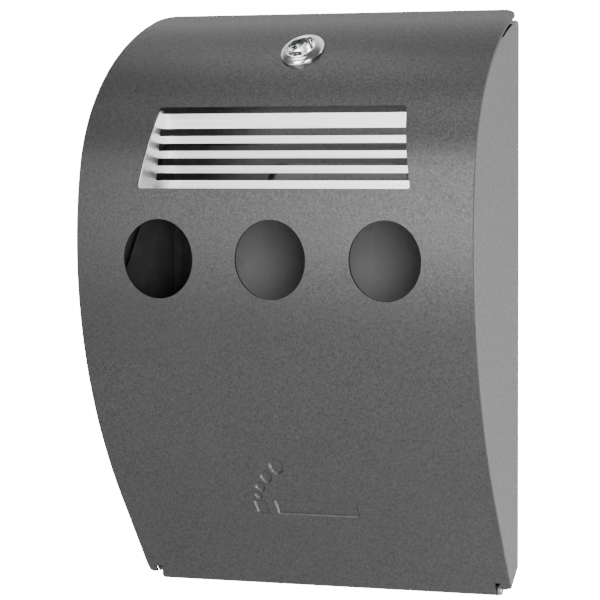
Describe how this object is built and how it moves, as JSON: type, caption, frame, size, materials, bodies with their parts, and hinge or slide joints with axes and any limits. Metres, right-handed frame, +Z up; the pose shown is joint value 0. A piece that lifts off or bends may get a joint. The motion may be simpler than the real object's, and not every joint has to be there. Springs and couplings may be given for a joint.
{
  "type": "wall mounted cigarette bin",
  "caption": "Wall-mounted ash and cigarette bin with a curved lockable cover hinged at the bottom, a stub-out grille, round mouths and a lift-out liner.",
  "frame": {"origin": "centre of the four wall-screw holes, on the wall face of the back panel", "axes": "+X to the viewer's right, -Y away from the wall towards the viewer, +Z up"},
  "size_m": [0.22, 0.0745, 0.2862],
  "materials": {
    "powder_coat_cover": "dark grey fine-textured powder coat",
    "powder_coat_housing": "grey powder coat",
    "stainless": "brushed stainless, bright",
    "chrome_lock": "chrome plated",
    "zinc": "zinc plated",
    "galvanised": "galvanised sheet"
  },
  "bodies": {
    "housing": {"back_wrap": "powder_coat_housing", "side_panel_left": "powder_coat_housing", "side_panel_right": "powder_coat_housing", "hinge_leaf": "powder_coat_housing", "hinge_rod": "zinc", "strike_bracket": "zinc", "liner_rests": "powder_coat_housing"},
    "cover": {"front_cover": "powder_coat_cover", "grille_tray": "stainless", "grille_washers": "zinc", "grille_nuts": "zinc", "lock_housing": "chrome_lock", "lock_washer": "zinc", "lock_nut": "chrome_lock"},
    "lock_barrel": {"lock_plug": "chrome_lock", "lock_cam": "zinc", "cam_washer": "zinc", "cam_screw": "zinc"},
    "liner": {"liner_wrap": "galvanised", "liner_end_left": "galvanised", "liner_end_right": "galvanised"}
  },
  "joints": [
    {"name": "cover_swing", "type": "hinge", "parent": "housing", "child": "cover", "pos_m": [0, -0.01314, -0.14557], "axis": [1, 0, 0], "range_deg": [0, 160]},
    {"name": "lock_turn", "type": "hinge", "parent": "cover", "child": "lock_barrel", "pos_m": [0, -0.0408, 0.118], "axis": [0, -0.6517, 0.7585], "range_deg": [0, 90]},
    {"name": "liner_lift", "type": "slide", "parent": "housing", "child": "liner", "axis": [0, 0, 1], "range_m": [0, 0.045]}
  ]
}
